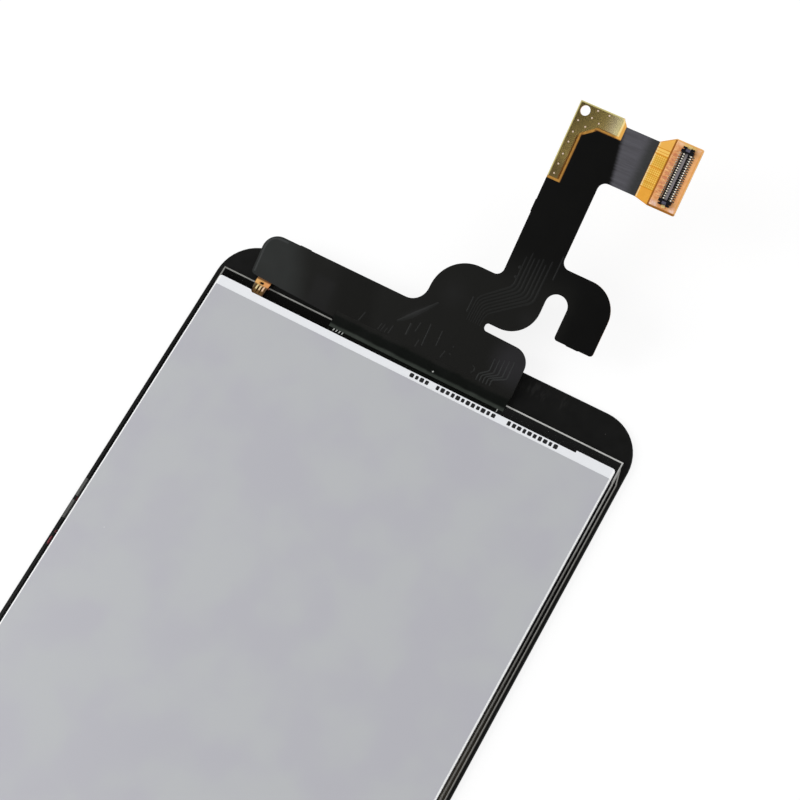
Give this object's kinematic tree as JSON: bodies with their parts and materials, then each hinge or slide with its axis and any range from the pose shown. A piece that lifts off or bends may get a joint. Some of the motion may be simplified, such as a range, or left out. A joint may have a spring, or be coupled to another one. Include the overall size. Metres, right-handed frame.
{
  "type": "phone lcd screen assembly",
  "caption": "Phone display with black-bordered cover glass, backlit panel and a raised flexible circuit that ends in a stiffened board-to-board connector.",
  "frame": {"origin": "centre of the cover glass's front face", "axes": "+Y along the glass to the end where the flexible circuit leaves, +X to the right seen from behind, +Z out of the rear of the display, away from the viewer of the screen"},
  "size_m": [0.07, 0.1773, 0.0187],
  "materials": {
    "cover_glass": "polished",
    "black_print": "smooth ink",
    "clear_adhesive": "clear",
    "polarizer": "smooth film",
    "panel_glass": "polished",
    "chip": "polished silicon",
    "bond_film": "conductive film",
    "resin": "cured resin",
    "black_tape": "matte tape",
    "white_moulding": "moulded, fine matte",
    "optic_film": "fine prisms",
    "light_guide": "clear moulding",
    "reflector": "satin silvered film",
    "emitter": "phosphor window in white body",
    "amber_circuit": "polyimide over copper",
    "black_film": "satin black film",
    "gold_plate": "gold plated copper",
    "stiffener": "polyimide board",
    "solder_mask": "solder mask",
    "housing": "moulded",
    "contact_plate": "gold flashed"
  },
  "bodies": {
    "root": {"cover_glass": "cover_glass", "border_print": "black_print", "optical_adhesive": "clear_adhesive", "front_polarizer": "polarizer", "filter_glass": "panel_glass", "array_glass": "panel_glass", "rear_polarizer": "polarizer", "driver_chip": "chip", "chip_bond_film": "bond_film", "ledge_resin": "resin", "rim_tape": "black_tape", "backlight_frame": "white_moulding", "upper_prism_sheet": "optic_film", "lower_prism_sheet": "optic_film", "diffuser_sheet": "optic_film", "light_guide": "light_guide", "reflector_sheet": "reflector", "light_emitters": "emitter", "light_strip": "amber_circuit", "main_flex": "amber_circuit", "flex_bond_film": "bond_film", "flex_rear_film": "black_film", "flex_front_film": "black_film", "edge_sealant": "resin", "ground_pad": "gold_plate", "ground_vias": "gold_plate", "pad_stiffener": "stiffener", "plug_mask": "solder_mask", "plug_stiffener": "stiffener", "connector_housing": "housing", "connector_contacts": "contact_plate", "connector_nails": "contact_plate"}
  },
  "joints": []
}
